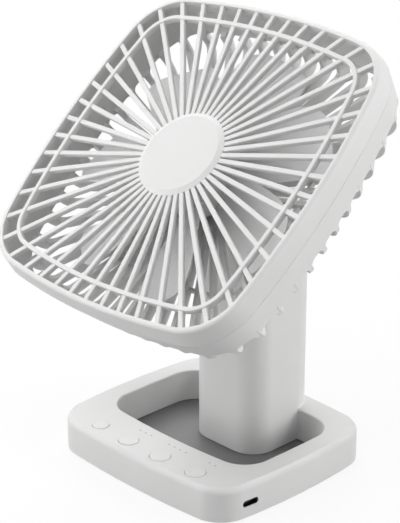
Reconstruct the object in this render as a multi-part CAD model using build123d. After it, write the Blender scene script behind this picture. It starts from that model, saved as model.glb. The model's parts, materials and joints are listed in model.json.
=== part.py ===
from build123d import *
import os
from math import atan2, cos, degrees, hypot, radians, sin, sqrt

# Rechargeable desk fan: a square head on a friction hinge, a post, and a square base with an open recess.
# Millimetres. +Z is up, the buttons face -Y, and the origin is the middle of the base on the table.
# The head is drawn in its own frame: x to the right, y up the face, z out of it, z = 0 at the front rim.
# HEAD carries that frame to where the head stands at rest, tipped back by TILT.

# Base
BASE_HALF_X = 65.0
BASE_HALF_Y = 57.3
BASE_CORNER = 18.0
BASE_BULGE_X = 357.0    # radius of the slightly arched left and right sides
BASE_BULGE_Y = 526.0    # radius of the slightly arched front and rear sides
BASE_TOP = 19.3
BASE_EDGE = 5.0         # rounding of the outer walls' upper part
BASE_CREASE = 1.2       # how far below its crest that rounding is cut off by the flat top
CREASE_EDGE = 0.3
WALL = 2.2
ROOF = 2.4
MAT = 1.0               # non-slip mat that the base stands on, also the floor of the recess
MAT_INSET = 2.5
MAT_ROUND = 0.3
SEAM = 0.4              # gap between the mat and the inner walls that end over it
SKIRT = 0.4             # height of the outer wall's lower edge, which hides the mat's edge
SKIRT_EDGE = 0.8
COVER = 2.0             # thickness of the bottom cover
COVER_PLAY = 0.2
BASE_BOSS_PILOT = 9.0
WEIGHT_WIDE = 5.6
WEIGHT_HIGH = 6.0
WEIGHT_X = (-60.3, 54.7)
WEIGHT_Y = (-22.0, 34.0)

# Recess in the base, behind the buttons
RECESS_HALF_X = 52.4
RECESS_HALF_Y = 35.5
RECESS_CORNER = 15.5
RECESS_BULGE_X = 900.0
RECESS_BULGE_Y = 435.0
RECESS_Y = 5.9
RECESS_EDGE = 1.0
RECESS_WALL = 2.0

# Post
POST_HALF_X = 24.3
POST_HALF_Y = 23.6
POST_CORNER = 13.8
POST_Y = 30.3
POST_HEAD = 11.0        # height of the post's top above the hinge
POST_ROUND = 10.0       # rounding of the post's top edge
POST_FOOT = 1.0         # fillet where the post rises out of the base
POST_COVER_HALF = 17.0
POST_COVER_LOW = 22.0
POST_COVER_HIGH = 106.0
POST_COVER_PLAY = 0.15
POST_COVER_SINK = 1.0   # depth of its screws' heads

# Head, measured from the rim's inner edge; depths are below the front rim
TILT = 47.65
FACE_Y = -21.4
FACE_Z = 170.6
RIM_HALF = 85.7
RIM_CORNER = 28.4
RIM_BULGE = 400.0
RIM_SLOPE = 9.0         # draft of the front half of the side wall, in degrees
RIM_ROUND = 2.0
GIRTH = 4.3             # how far the widest line of the head stands out from the rim's inner edge
PARTING = 10.6          # depth of the line where the two grilles meet, which is the widest line
REAR_EDGE = 26.0        # depth of the side wall's rear edge
REAR_GROW = 0.8         # the side wall's rear edge, out from the rim's inner edge
REAR_FACE = 36.0        # depth of the rear ribs' outer face
SHELL = 1.8
RIB_COUNT = 48
RIB_FRONT = 0.7         # depth of the front ribs' face
RIB_DEEP = 2.6
RIB_NARROW = 2.4        # rib width at the hub
RIB_WIDE = 2.6          # rib width at the rim
RING_HALF = 76.2        # square ring across the front ribs, at the middle of its width
RING_CORNER = 18.0
RING_BULGE = 370.0
RING_WIDE = 2.3
CLIP_ALONG = (-14.0, 14.0)
CLIP_HALF = 4.0
CLIP_PLAY = 0.4
CLIP_REACH = 4.5        # how far a clip's hook goes into the rear grille
CAP_FACE = 21.4
CAP_RIM = 24.0
CAP_PROUD = 0.6
CAP_DROP = 1.2          # fall of the cap's sloped edge
CAP_PEGS = 3
CAP_PEG = 1.2
CAP_PEG_LONG = 2.4
CAP_PEG_RING = 16.0
REAR_RIB = 2.2          # rear rib width at the hub plate
REAR_RIB_WIDE = 3.2     # rear rib width at the side wall
REAR_RIB_DEEP = 6.5
REAR_ROUND = 9.6        # rounding of the rear ribs where they turn into the side wall
RIB_ROOT = 2.4          # round corner at each side of a rear rib, where it leaves the side wall
REAR_RING_HALF = 54.0
REAR_RING_CORNER = 16.0
REAR_RING_WIDE = 2.0
HUB_PLATE = 24.0
HUB_PLATE_DEEP = 4.5
HUB_PLATE_THICK = 3.0   # under the motor, where the plate is cut away
PAN_INSET = 0.05        # the rear ribs, in from the side wall's rear edge

# Hinge
PIVOT_DEPTH = 58.0
KNUCKLE = 8.5
KNUCKLE_HALF = 7.8
NECK_HALF = 6.5
PIN = 2.5
PIN_HALF = 13.5
PIN_EDGE = 0.4
SLOT_RADIUS = 9.4       # clearance about the knuckle
SLOT_HALF = 8.95
SLOT_MOUTH_HALF = 8.4
YOKE_HALF = 14.0
WASHER = 0.8
WASHER_RADIUS = 7.0
LEDGE_TOP = 107.5       # ledges in the post that the yoke is screwed to
LEDGE_DEEP = 8.0
LEDGE_HALF = 4.0
YOKE_EAR = 3.0
BULGE_DEPTH = 44.0      # depth of the motor cover's rear face
BULGE_RADIUS = 23.0
BULGE_THICK = 1.8
BULGE_ROUND = 3.0
BULGE_BOSS = 3.6
BULGE_SINK = 3.0        # depth of its screws' seats

# Impeller and motor
BLADE_COUNT = 7
BLADE_TIP = 72.0
BLADE_MID_DEPTH = 17.5
BLADE_PHASE = 38.0      # direction of one blade's middle at rest, in degrees
BLADE_SWEEP = 7.0       # the tip trails the root by this much
BLADE_ROOT_CHORD = 24.0
BLADE_TIP_CHORD = 40.0
BLADE_ROOT_RISE = 15.0
BLADE_TIP_RISE = 12.0
BLADE_CAMBER = 2.6
BLADE_THICK = 1.8
BLADE_EDGE = 0.9
BLADE_TIP_ROUND = 13.0
HUB = 21.5
HUB_WALL = 1.6
HUB_FACE = 7.0          # depth of the hub's front face
HUB_SKIRT = 26.5        # depth of the hub's open end
YOKE_CAN = 19.8
CAN_THICK = 1.2
CAN_SET_BACK = 0.5
MAGNET = 18.5
MAGNET_FRONT = 12.5
MAGNET_THICK = 2.0
STATOR = 15.9
STATOR_FRONT = 14.6
STATOR_REAR = 23.4
TEETH = 9
TOOTH = 2.6
SHOE = 1.7              # thickness of the pole shoes at the stator's rim
STATOR_YOKE = 7.5
COIL = (8.3, 13.7)
COIL_HALF = 2.4
COIL_END = 1.2
COIL_PLAY = 0.05
SHAFT = 1.5
SHAFT_EDGE = 0.3
CLIP_RING = 2.6
CLIP_RING_THICK = 0.6
BEARING = 3.5
BEARING_WIDE = 3.0
BEARING_LIP = 0.5
SHIELD_DEEP = 0.25
TUBE = 4.6
TUBE_FRONT = -13.2
FRONT_BEARING = -16.4   # each bearing's rear face
REAR_BEARING = -30.0
HUB_BOSS = -12.6
HUB_BOSS_RADIUS = 5.0
HUB_ROUND = 2.5
HUB_ROOF = 2.0
SHAFT_END = -32.0
BOARD_DEPTH = -29.6
LEAD_X = -13.0
LEAD_HOLE = 2.0
MOTOR_LEAD = 0.9
FIT = 0.02              # play of a press fit
RUN = 0.04              # play of a running fit
SEAT_PLAY = 0.1         # play between a piece and what it is set into

# Controls in the base's front bar
BUTTON_ROW = -48.3      # the row's middle; the row follows the arch of the front side
BUTTON_X = (-34.1, -11.3, 12.5, 36.8)
BUTTON_RADIUS = (4.3, 5.2, 5.2, 5.2)
BUTTON_NODES = ("timer_button", "speed_down_button", "speed_up_button", "power_button")
BUTTON_GAP = 0.3
BUTTON_PROUD = 0.5
BUTTON_TRAVEL = 0.5
BUTTON_FLANGE = 0.7
BUTTON_FLANGE_THICK = 1.2
BUTTON_EDGE = 0.4
DISH = 60.0             # radius of the shallow dish in each button
DISH_DEEP = 0.18
USB_Y = -34.6
USB_Z = 8.4
USB_WIDE = 8.94
USB_HIGH = 3.26
USB_LONG = 7.35
USB_FRONT = 62.7        # mouth of the socket's shell
USB_SHEET = 0.3
USB_BACK = 0.8
TONGUE_HALF = 3.35
TONGUE_THICK = 0.7
TONGUE_SET_BACK = 1.0
FLAT = 0.1              # short flat that is left at each end of the socket's oval
COLLAR_WIDE = 9.7       # collar at the socket's mouth, which fills the slot in the wall
COLLAR_LONG = 1.8
COLLAR_SINK = 0.25      # depth of the collar's face in the wall
MOUTH_PLAY = 0.12
BOARD_THICK = 1.2
BOARD_X = (-46.0, 44.0)
BOARD_Y = (-52.4, -33.0)
BOARD_TAIL_X = (43.0, 59.4)   # under the charging socket
BOARD_TAIL_Y = (-39.8, -31.4)
SWITCH = 6.0
SWITCH_HIGH = 3.5
PLUNGER = 1.7
BOARD_SCREW_X = (-42.5, 39.5)
BOARD_SCREW_Y = -36.0
SWITCH_TIP = 0.8
CHIP_ROW = -38.0
CHIPS = {-28.0: (5.0, 5.0, 1.0), -8.0: (7.0, 5.0, 1.4), 8.0: (6.0, 6.0, 3.0), 24.0: (4.0, 3.0, 1.1)}

# Battery
CELL = 9.2
CELL_LONG = 65.0
CELL_X = 9.7
CELL_Y = 26.0
CELL_LOW = 31.0
CELL_EDGE = 0.6
STRAP_HALF = 3.0
STRAP_THICK = 0.2
SUPPLY_REAR_Y = 47.5    # supply lead in the rear bar
SUPPLY_LEAD = 1.0
SUPPLY_BEND = 6.0

# Screws
SCREW = 1.2
SCREW_HEAD = 2.5
PILOT = 1.25
BOSS = 3.0
SCREW_HOLE = 1.5
SCREW_SINK = 2.8
SCREW_EDGE = 0.5
CROSS_LONG = 2.6
CROSS_WIDE = 0.6
CROSS_DEEP = 0.7

PAST = 1.0              # how far a cutter runs past the face that it cuts

SHELL_BOTTOM = MAT + SEAM
COVER_TOP = MAT + COVER
SCREW_SEAT = MAT + 1.2
CEILING = BASE_TOP - ROOF
BOARD_TOP = USB_Z - USB_HIGH / 2
PIVOT_Y = FACE_Y + PIVOT_DEPTH * cos(radians(TILT))
PIVOT_Z = FACE_Z - PIVOT_DEPTH * sin(radians(TILT))
POST_TOP = PIVOT_Z + POST_HEAD
HEAD = Plane(
    origin=(0, FACE_Y, FACE_Z),
    x_dir=(1, 0, 0),
    z_dir=(0, -cos(radians(TILT)), sin(radians(TILT))),
).location
UP = (0, 0, 1)
BASE_SCREWS = [(x, y) for x in (-50.5, 50.5) for y in (-48.5, 48.5)]
CRADLE_SCREWS = [(x, z) for x in (-7.0, 7.0) for z in (24.0, 102.5)]
COVER_SCREWS = [(0, POST_COVER_LOW + 4), (0, POST_COVER_HIGH - 4)]
YOKE_SCREW_X = 18.0
MOTOR_SCREW_RING = 17.5
HOLDER_SCREW_RING = 8.7
HOLDER_FLANGE = 10.9
HOLDER_THICK = 1.5
HOLDER_COLLAR = 6.5
CRADLE_Y = 14.0
CRADLE_THICK = 2.0
CRADLE_END = 1.6
CRADLE_LOW = 20.5
CRADLE_NECK = 11.5
COVER_BOSS = 3.2
COVER_BOSS_PILOT = 9.0


def unit(x, y):
    length = hypot(x, y)
    return x / length, y / length


def bulged_rectangle(half_x, half_y, corner, bulge_x, bulge_y):
    """Face with four arched sides and four round corners, each arc tangent to the next."""
    side_x = half_x - bulge_x
    end_y = half_y - bulge_y
    span = hypot(side_x, end_y)
    reach_side = bulge_x - corner
    reach_end = bulge_y - corner
    along = (span**2 + reach_side**2 - reach_end**2) / (2 * span)
    across = sqrt(reach_side**2 - along**2)
    to_end_x, to_end_y = unit(-side_x, end_y)
    centre_x = side_x + along * to_end_x - across * to_end_y
    centre_y = along * to_end_y + across * to_end_x
    out_side = unit(centre_x - side_x, centre_y)
    out_end = unit(centre_x, centre_y - end_y)
    out_middle = unit(out_side[0] + out_end[0], out_side[1] + out_end[1])

    def on_corner(out, sign_x, sign_y):
        return sign_x * (centre_x + corner * out[0]), sign_y * (centre_y + corner * out[1])

    edges = []
    for sign in (1, -1):
        side = [on_corner(out_side, sign, -1), (sign * half_x, 0), on_corner(out_side, sign, 1)]
        end = [on_corner(out_end, -1, sign), (0, sign * half_y), on_corner(out_end, 1, sign)]
        edges += [ThreePointArc(*side), ThreePointArc(*end)]
        for sign_y in (1, -1):
            points = [on_corner(out, sign, sign_y) for out in (out_side, out_middle, out_end)]
            edges.append(ThreePointArc(*points))
    return make_face(edges)


def base_outline(grow=0.0):
    return bulged_rectangle(
        BASE_HALF_X + grow, BASE_HALF_Y + grow, BASE_CORNER + grow, BASE_BULGE_X + grow, BASE_BULGE_Y + grow
    )


def recess_outline(grow=0.0):
    return Pos(0, RECESS_Y) * bulged_rectangle(
        RECESS_HALF_X + grow,
        RECESS_HALF_Y + grow,
        RECESS_CORNER + grow,
        RECESS_BULGE_X + grow,
        RECESS_BULGE_Y + grow,
    )


def head_outline(grow=0.0):
    half = RIM_HALF + grow
    return bulged_rectangle(half, half, RIM_CORNER + grow, RIM_BULGE + grow, RIM_BULGE + grow)


def ring_outline(grow=0.0):
    half = RING_HALF + grow
    return bulged_rectangle(half, half, RING_CORNER + grow, RING_BULGE + grow, RING_BULGE + grow)


def post_outline(grow=0.0):
    return Pos(0, POST_Y) * RectangleRounded(
        2 * (POST_HALF_X + grow), 2 * (POST_HALF_Y + grow), POST_CORNER + grow
    )


def prism(face, low, high, taper=0.0):
    return extrude(Pos(0, 0, low) * face, amount=high - low, dir=UP, taper=taper)


def block(x_range, y_range, z_range):
    size = [high - low for low, high in (x_range, y_range, z_range)]
    middle = [(high + low) / 2 for low, high in (x_range, y_range, z_range)]
    return Pos(*middle) * Box(*size)


def rod(radius, low, high, x=0.0, y=0.0):
    """Upright round bar."""
    return Pos(x, y, (low + high) / 2) * Cylinder(radius, high - low)


def rod_x(radius, half, y, z):
    """Round bar along X, centred on x = 0."""
    return Pos(0, y, z) * Rot(0, 90, 0) * Cylinder(radius, 2 * half)


def rod_y(radius, low, high, x, z):
    """Round bar along Y."""
    return Pos(x, (low + high) / 2, z) * Rot(90, 0, 0) * Cylinder(radius, high - low)


def screw(length, head=SCREW_HEAD, head_high=1.6):
    """Cross-head screw: head above z = 0, shank below."""
    body = rod(head, 0, head_high) + rod(SCREW, -length, 0)
    body = fillet(body.edges().group_by(Axis.Z)[-1], SCREW_EDGE)
    slot = Box(CROSS_LONG, CROSS_WIDE, 2 * CROSS_DEEP) + Box(CROSS_WIDE, CROSS_LONG, 2 * CROSS_DEEP)
    return body - Pos(0, 0, head_high) * slot


def group(solids):
    """Several like pieces in one node."""
    return Compound([solid for item in solids for solid in item.solids()])


# Base


def post_body(inset=0.0):
    """Post with a pillowed top, shrunk by inset all round."""
    body = prism(post_outline(-inset), SHELL_BOTTOM, POST_TOP - inset)
    return fillet(body.edges().group_by(Axis.Z)[-1], POST_ROUND - inset)


def knuckle_slot(half):
    """Room for the knuckle and its neck, from level through to upright."""
    away = 40.0
    forward = block((-half, half), (PIVOT_Y - away, PIVOT_Y), (PIVOT_Z - SLOT_RADIUS, PIVOT_Z + away))
    upward = block((-half, half), (PIVOT_Y - away, PIVOT_Y + SLOT_RADIUS), (PIVOT_Z, PIVOT_Z + away))
    return rod_x(SLOT_RADIUS, half, PIVOT_Y, PIVOT_Z) + forward + upward


def button_y(x):
    return BUTTON_ROW + x**2 / (2 * BASE_BULGE_Y)


def usb_mouth():
    """Slot through the right wall for the charging plug."""
    plane = Plane(origin=(USB_FRONT - USB_LONG / 2, USB_Y, USB_Z), x_dir=(0, 1, 0), z_dir=(1, 0, 0))
    high = USB_HIGH + 2 * MOUTH_PLAY
    mouth = RectangleRounded(COLLAR_WIDE + 2 * MOUTH_PLAY, high, high / 2 - FLAT)
    return extrude(plane * mouth, amount=USB_LONG)


def post_window(play=0.0):
    """Part of the post's rear wall that comes away as the cover."""
    half = POST_COVER_HALF + play
    rear = POST_Y + POST_HALF_Y
    upright = (POST_COVER_LOW - play, POST_COVER_HIGH + play)
    return block((-half, half), (rear - POST_CORNER, rear + PAST), upright)


def on_post_foot(edge):
    """Edges where the post rises out of the base's top."""
    middle = edge.center()
    near = 0.01
    behind_recess = RECESS_Y + RECESS_HALF_Y < middle.Y < POST_Y + POST_HALF_Y + near
    return abs(middle.Z - BASE_TOP) < near and abs(middle.X) < POST_HALF_X and behind_recess


def base_shell():
    crest = BASE_TOP + BASE_CREASE
    shell = prism(base_outline(), SKIRT, crest)
    shell = fillet(shell.edges().group_by(Axis.Z)[-1], BASE_EDGE)
    shell = fillet(shell.edges().group_by(Axis.Z)[0], SKIRT_EDGE)
    shell -= prism(base_outline(PAST), BASE_TOP, crest + PAST)
    shell = fillet(shell.edges().group_by(Axis.Z)[-1], CREASE_EDGE)
    shell -= prism(base_outline(-WALL), 0, SHELL_BOTTOM)
    shell -= prism(recess_outline(), 0, BASE_TOP + PAST)
    mouth = shell.faces().group_by(Axis.Z)[-1].face().inner_wires().edges()
    shell = fillet(mouth, RECESS_EDGE)
    shell += post_body()
    shell = fillet([edge for edge in shell.edges() if on_post_foot(edge)], POST_FOOT)
    bars = prism(base_outline(-WALL), 0, CEILING) - prism(recess_outline(RECESS_WALL), 0, BASE_TOP)
    shell -= bars - prism(post_outline(), 0, BASE_TOP)
    shell -= post_body(WALL)
    shell -= prism(cover_outline(), 0, COVER_TOP + SEAT_PLAY)
    lead_x = POST_HALF_X + PAST
    lead_y = (SUPPLY_REAR_Y - LEAD_HOLE, SUPPLY_REAR_Y + LEAD_HOLE)
    shell -= block((-lead_x, lead_x), lead_y, (COVER_TOP + LEAD_HOLE, CEILING - PAST))
    shell -= knuckle_slot(SLOT_MOUTH_HALF)
    shell -= post_window(POST_COVER_PLAY)
    shell -= usb_mouth()
    for x, radius in zip(BUTTON_X, BUTTON_RADIUS):
        shell -= rod(radius + BUTTON_GAP, CEILING - PAST, BASE_TOP + PAST, x, button_y(x))
    for x, y in BASE_SCREWS:
        boss = rod(BOSS, COVER_TOP, CEILING + ROOF / 2, x, y)
        shell += boss - rod(PILOT, 0, COVER_TOP + BASE_BOSS_PILOT, x, y)
    front = POST_Y - POST_HALF_Y + WALL
    for x, z in CRADLE_SCREWS:
        shell += rod_y(BOSS, front - WALL / 2, CRADLE_Y, x, z) - rod_y(PILOT, front + PILOT, CRADLE_Y, x, z)
    within_post = post_body(WALL / 2)
    for sign in (-1, 1):
        low, high = sorted((sign * (YOKE_SCREW_X - BOSS), sign * POST_HALF_X))
        along = (PIVOT_Y - LEDGE_HALF, PIVOT_Y + LEDGE_HALF)
        ledge = block((low, high), along, (LEDGE_TOP - LEDGE_DEEP, LEDGE_TOP)) & within_post
        shell += ledge - rod(PILOT, LEDGE_TOP - LEDGE_DEEP + PAST, LEDGE_TOP, sign * YOKE_SCREW_X, PIVOT_Y)
    return shell


def post_cover():
    """Curved panel that closes the rear of the post over the battery."""
    panel = (prism(post_outline(), 0, POST_TOP) - prism(post_outline(-WALL), 0, POST_TOP)) & post_window()
    rear = POST_Y + POST_HALF_Y
    for x, z in COVER_SCREWS:
        panel -= rod_y(SCREW_HOLE, rear - 2 * WALL, rear + PAST, x, z)
        panel -= rod_y(SCREW_SINK, rear - POST_COVER_SINK, rear + PAST, x, z)
    return panel


def cover_outline(play=0.0):
    """Footprint of the hollow bars and of the post's inside, with the recess left open."""
    return base_outline(-WALL - play) - recess_outline(RECESS_WALL + play) + post_outline(-WALL - play)


def bottom_cover():
    plate = prism(cover_outline(COVER_PLAY), MAT, COVER_TOP)
    for x, y in BASE_SCREWS:
        plate -= rod(SCREW_HOLE, 0, COVER_TOP + PAST, x, y)
        plate -= rod(SCREW_SINK, 0, SCREW_SEAT, x, y)
    return plate


def base_mat():
    mat = prism(base_outline(-MAT_INSET), 0, MAT)
    return fillet(mat.edges().group_by(Axis.Z)[-1], MAT_ROUND)


def base_screws():
    seat = Rot(180, 0, 0) * screw(8.0, head_high=1.1)
    return group(Pos(x, y, SCREW_SEAT) * seat for x, y in BASE_SCREWS)


def base_weights():
    """Steel bars that keep the fan from tipping, one in each side bar."""
    high = COVER_TOP + WEIGHT_HIGH
    return group(block((x, x + WEIGHT_WIDE), WEIGHT_Y, (COVER_TOP, high)) for x in WEIGHT_X)


# Controls


def control_board():
    thick = (BOARD_TOP - BOARD_THICK, BOARD_TOP)
    board = block(BOARD_X, BOARD_Y, thick) + block(BOARD_TAIL_X, BOARD_TAIL_Y, thick)
    for x in BOARD_SCREW_X:
        board -= rod(SCREW_HOLE, 0, BASE_TOP, x, BOARD_SCREW_Y)
    return board


def board_spacers():
    """Spacers between the board and the bottom cover."""
    low, high = COVER_TOP, BOARD_TOP - BOARD_THICK
    return group(rod(BOSS, low, high, x, BOARD_SCREW_Y) - rod(PILOT, low, high, x, BOARD_SCREW_Y)
                 for x in BOARD_SCREW_X)


def board_screws():
    length = BOARD_TOP - COVER_TOP - SEAM
    return group(Pos(x, BOARD_SCREW_Y, BOARD_TOP) * screw(length) for x in BOARD_SCREW_X)


def tact_switches():
    items = []
    half = SWITCH / 2
    for x in BUTTON_X:
        y = button_y(x)
        body = block((x - half, x + half), (y - half, y + half), (BOARD_TOP, BOARD_TOP + SWITCH_HIGH))
        items.append(body + rod(PLUNGER, BOARD_TOP, BOARD_TOP + SWITCH_HIGH + SWITCH_TIP, x, y))
    return group(items)


def board_chips():
    """Charging chip, motor driver, coil and the plug of the supply lead."""
    standing = (Align.CENTER, Align.CENTER, Align.MIN)
    return group(Pos(x, CHIP_ROW, BOARD_TOP) * Box(*size, align=standing) for x, size in CHIPS.items())


def usb_socket():
    """Steel shell of the charging socket, with a closed back and a collar that ends in the wall."""
    plane = Plane(origin=(USB_FRONT - USB_LONG, USB_Y, USB_Z), x_dir=(0, 1, 0), z_dir=(1, 0, 0))

    def oval(wide, high):
        return RectangleRounded(wide, high, high / 2 - FLAT)

    shell = extrude(plane * oval(USB_WIDE, USB_HIGH), amount=USB_LONG)
    tip = plane.offset(USB_LONG - COLLAR_LONG)
    collar = extrude(tip * oval(COLLAR_WIDE, USB_HIGH), amount=2 * COLLAR_LONG)
    shell += collar & prism(base_outline(-COLLAR_SINK), 0, BASE_TOP)
    bore = oval(USB_WIDE - 2 * USB_SHEET, USB_HIGH - 2 * USB_SHEET)
    return shell - extrude(plane.offset(USB_BACK) * bore, amount=USB_LONG + COLLAR_LONG)


def usb_tongue():
    half = TONGUE_THICK / 2
    return block(
        (USB_FRONT - USB_LONG + USB_BACK, USB_FRONT - TONGUE_SET_BACK),
        (USB_Y - TONGUE_HALF, USB_Y + TONGUE_HALF),
        (USB_Z - half, USB_Z + half),
    )


def button(x, radius):
    """Push button: a cap with a shallow dish, a flange that keeps it in, and a stem over its switch."""
    rest = BOARD_TOP + SWITCH_HIGH + SWITCH_TIP + BUTTON_TRAVEL + SEAT_PLAY
    flange = CEILING - BUTTON_GAP
    top = BASE_TOP + BUTTON_PROUD
    cap = rod(radius, flange - BUTTON_FLANGE_THICK, top)
    cap = fillet(cap.edges().group_by(Axis.Z)[-1], BUTTON_EDGE)
    cap += rod(radius + BUTTON_FLANGE, flange - BUTTON_FLANGE_THICK, flange)
    cap += rod(PLUNGER, rest, flange)
    cap -= Pos(0, 0, top + DISH - DISH_DEEP) * Sphere(DISH)
    return Pos(x, button_y(x), 0) * cap


# Battery


def battery_cells():
    cells = []
    for sign in (-1, 1):
        cell = rod(CELL, CELL_LOW, CELL_LOW + CELL_LONG, sign * CELL_X, CELL_Y)
        cells.append(fillet(cell.edges(), CELL_EDGE))
    return group(cells)


def battery_straps():
    """Nickel strips that join the two cells at the top and the bottom."""
    half = CELL_X + STRAP_HALF
    across = (CELL_Y - STRAP_HALF, CELL_Y + STRAP_HALF)
    ends = (CELL_LOW - STRAP_THICK, CELL_LOW + CELL_LONG)
    return group(block((-half, half), across, (z, z + STRAP_THICK)) for z in ends)


def battery_cradle():
    """Open tray behind the post's front wall; its two long bosses take the rear cover's screws."""
    half = POST_HALF_X - 2 * WALL
    low = CELL_LOW - 2 * STRAP_THICK
    high = CELL_LOW + CELL_LONG + 2 * STRAP_THICK
    sheet = (CRADLE_Y, CRADLE_Y + CRADLE_THICK)
    tray = block((-half, half), sheet, (CRADLE_LOW, high + CRADLE_END))
    tray += block((-CRADLE_NECK, CRADLE_NECK), sheet, (high, LEDGE_TOP - PAST))
    for z in (low - CRADLE_END, high):
        tray += block((-half, half), (CRADLE_Y, CELL_Y + CELL), (z, z + CRADLE_END))
    rear = POST_Y + POST_HALF_Y - WALL
    for x, z in COVER_SCREWS:
        tray += rod_y(COVER_BOSS, CRADLE_Y, rear - SEAT_PLAY, x, z)
        tray -= rod_y(PILOT, rear - COVER_BOSS_PILOT, rear, x, z)
    for x, z in CRADLE_SCREWS:
        tray -= rod_y(SCREW_HOLE, CRADLE_Y - PAST, CRADLE_Y + CRADLE_THICK + PAST, x, z)
    return tray


def cradle_screws():
    turned = Rot(-90, 0, 0) * screw(4.5)
    return group(Pos(x, CRADLE_Y + CRADLE_THICK, z) * turned for x, z in CRADLE_SCREWS)


def post_cover_screws():
    turned = Rot(-90, 0, 0) * screw(7.0, head_high=0.9)
    rear = POST_Y + POST_HALF_Y - POST_COVER_SINK
    return group(Pos(x, rear, z) * turned for x, z in COVER_SCREWS)


def supply_lead():
    """Lead from the board through the left bar and the rear bar into the post."""
    height = COVER_TOP + WEIGHT_HIGH + 2.5
    corners = [(-45, -36), (-52, -32), (-57.4, -20), (-57.4, 32), (-50, 43.8)]
    corners += [(-38, SUPPLY_REAR_Y), (-16, SUPPLY_REAR_Y)]
    route = [(x, y, height) for x, y in corners]
    path = FilletPolyline(*route, radius=SUPPLY_BEND)
    return sweep(Plane(origin=route[0], z_dir=path % 0) * Circle(SUPPLY_LEAD), path=path)


# Hinge


def hinge_yoke():
    """Block inside the post's top that carries the hinge pin."""
    yoke = block((-YOKE_HALF, YOKE_HALF), (0, PIVOT_Y + YOKE_HALF), (LEDGE_TOP, POST_TOP))
    reach = YOKE_SCREW_X + BOSS
    along = (PIVOT_Y - LEDGE_HALF, PIVOT_Y + LEDGE_HALF)
    yoke += block((-reach, reach), along, (LEDGE_TOP, LEDGE_TOP + YOKE_EAR))
    yoke &= post_body(WALL + SEAT_PLAY)
    yoke -= knuckle_slot(SLOT_HALF)
    yoke -= rod_x(PIN + FIT, PIN_HALF + SEAT_PLAY, PIVOT_Y, PIVOT_Z)
    for sign in (-1, 1):
        yoke -= rod(SCREW_HOLE, LEDGE_TOP - PAST, LEDGE_TOP + YOKE_EAR + PAST, sign * YOKE_SCREW_X, PIVOT_Y)
    return yoke


def yoke_screws():
    return group(Pos(sign * YOKE_SCREW_X, PIVOT_Y, LEDGE_TOP + YOKE_EAR) * screw(8.0) for sign in (-1, 1))


def hinge_pin():
    pin = rod_x(PIN, PIN_HALF, PIVOT_Y, PIVOT_Z)
    return chamfer(pin.edges().group_by(Axis.X)[0] + pin.edges().group_by(Axis.X)[-1], PIN_EDGE)


def friction_washers():
    ring = Cylinder(WASHER_RADIUS, WASHER) - Cylinder(PIN + FIT, WASHER)
    middle = SLOT_HALF - WASHER / 2
    return group(Pos(sign * middle, PIVOT_Y, PIVOT_Z) * Rot(0, 90, 0) * ring for sign in (-1, 1))


# Head, in its own frame


def rib_star(narrow, wide, inner):
    """Flat star of straight radial ribs, cut off at the side wall."""
    far = 125.0
    half_in = narrow / 2
    half_out = half_in + (wide - narrow) / 2 * (far - inner) / (RIM_HALF - inner)
    bar = make_face(Polyline((0, -half_in), (inner, -half_in), (far, -half_out), (far, half_out),
                             (inner, half_in), (0, half_in), close=True))
    return Sketch() + [Rot(0, 0, 360 / RIB_COUNT * turn) * bar for turn in range(RIB_COUNT)]


def front_grille():
    rib_back = -RIB_FRONT - RIB_DEEP
    shell = prism(head_outline(GIRTH), -PARTING, 0, RIM_SLOPE)
    shell = fillet(shell.edges().group_by(Axis.Z)[-1], RIM_ROUND)
    shell -= prism(head_outline(), -PARTING - PAST, PAST)
    shell -= prism(head_outline(SHELL), -PARTING - PAST, rib_back - CLIP_PLAY)
    star = (rib_star(RIB_NARROW, RIB_WIDE, CAP_RIM) + Circle(CAP_RIM)) & head_outline(SHELL / 3)
    shell += prism(star, rib_back, -RIB_FRONT)
    ring = ring_outline(RING_WIDE / 2) - ring_outline(-RING_WIDE / 2)
    shell += prism(ring, rib_back, 0)
    for turn in range(CAP_PEGS):
        shell -= Rot(0, 0, 360 / CAP_PEGS * turn) * rod(CAP_PEG + FIT, rib_back - PAST, PAST, CAP_PEG_RING)
    for along in CLIP_ALONG:
        across = (along - CLIP_HALF, along + CLIP_HALF)
        clip_top = rib_back - CLIP_PLAY
        root = block((RIM_HALF, RIM_HALF + WALL), across, (-PARTING, clip_top))
        hook = block((RIM_HALF - CLIP_PLAY, RIM_HALF + SHELL / 3), across, (-PARTING - CLIP_REACH, clip_top))
        for turn in range(4):
            shell += Rot(0, 0, 90 * turn) * (root + hook)
    return shell


def grille_cap():
    """Round cap on the middle of the front ribs, held by three pegs."""
    cap = Pos(0, 0, -RIB_FRONT) * Cylinder(CAP_RIM, CAP_PROUD + RIB_FRONT,
                                          align=(Align.CENTER, Align.CENTER, Align.MIN))
    cap = chamfer(cap.edges().group_by(Axis.Z)[-1], CAP_DROP, CAP_RIM - CAP_FACE)
    peg = rod(CAP_PEG, -RIB_FRONT - CAP_PEG_LONG, -RIB_FRONT, CAP_PEG_RING)
    for turn in range(CAP_PEGS):
        cap += Rot(0, 0, 360 / CAP_PEGS * turn) * peg
    return cap


def motor_screw_spots():
    """Three screws that hold the motor cover to the rear grille."""
    turns = [radians(90 + 120 * turn) for turn in range(3)]
    return [(MOTOR_SCREW_RING * cos(turn), MOTOR_SCREW_RING * sin(turn)) for turn in turns]


def holder_screw_spots():
    """Three screws that hold the motor's bearing tube to the rear grille."""
    turns = [radians(30 + 120 * turn) for turn in range(3)]
    return [(HOLDER_SCREW_RING * cos(turn), HOLDER_SCREW_RING * sin(turn)) for turn in turns]


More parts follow.
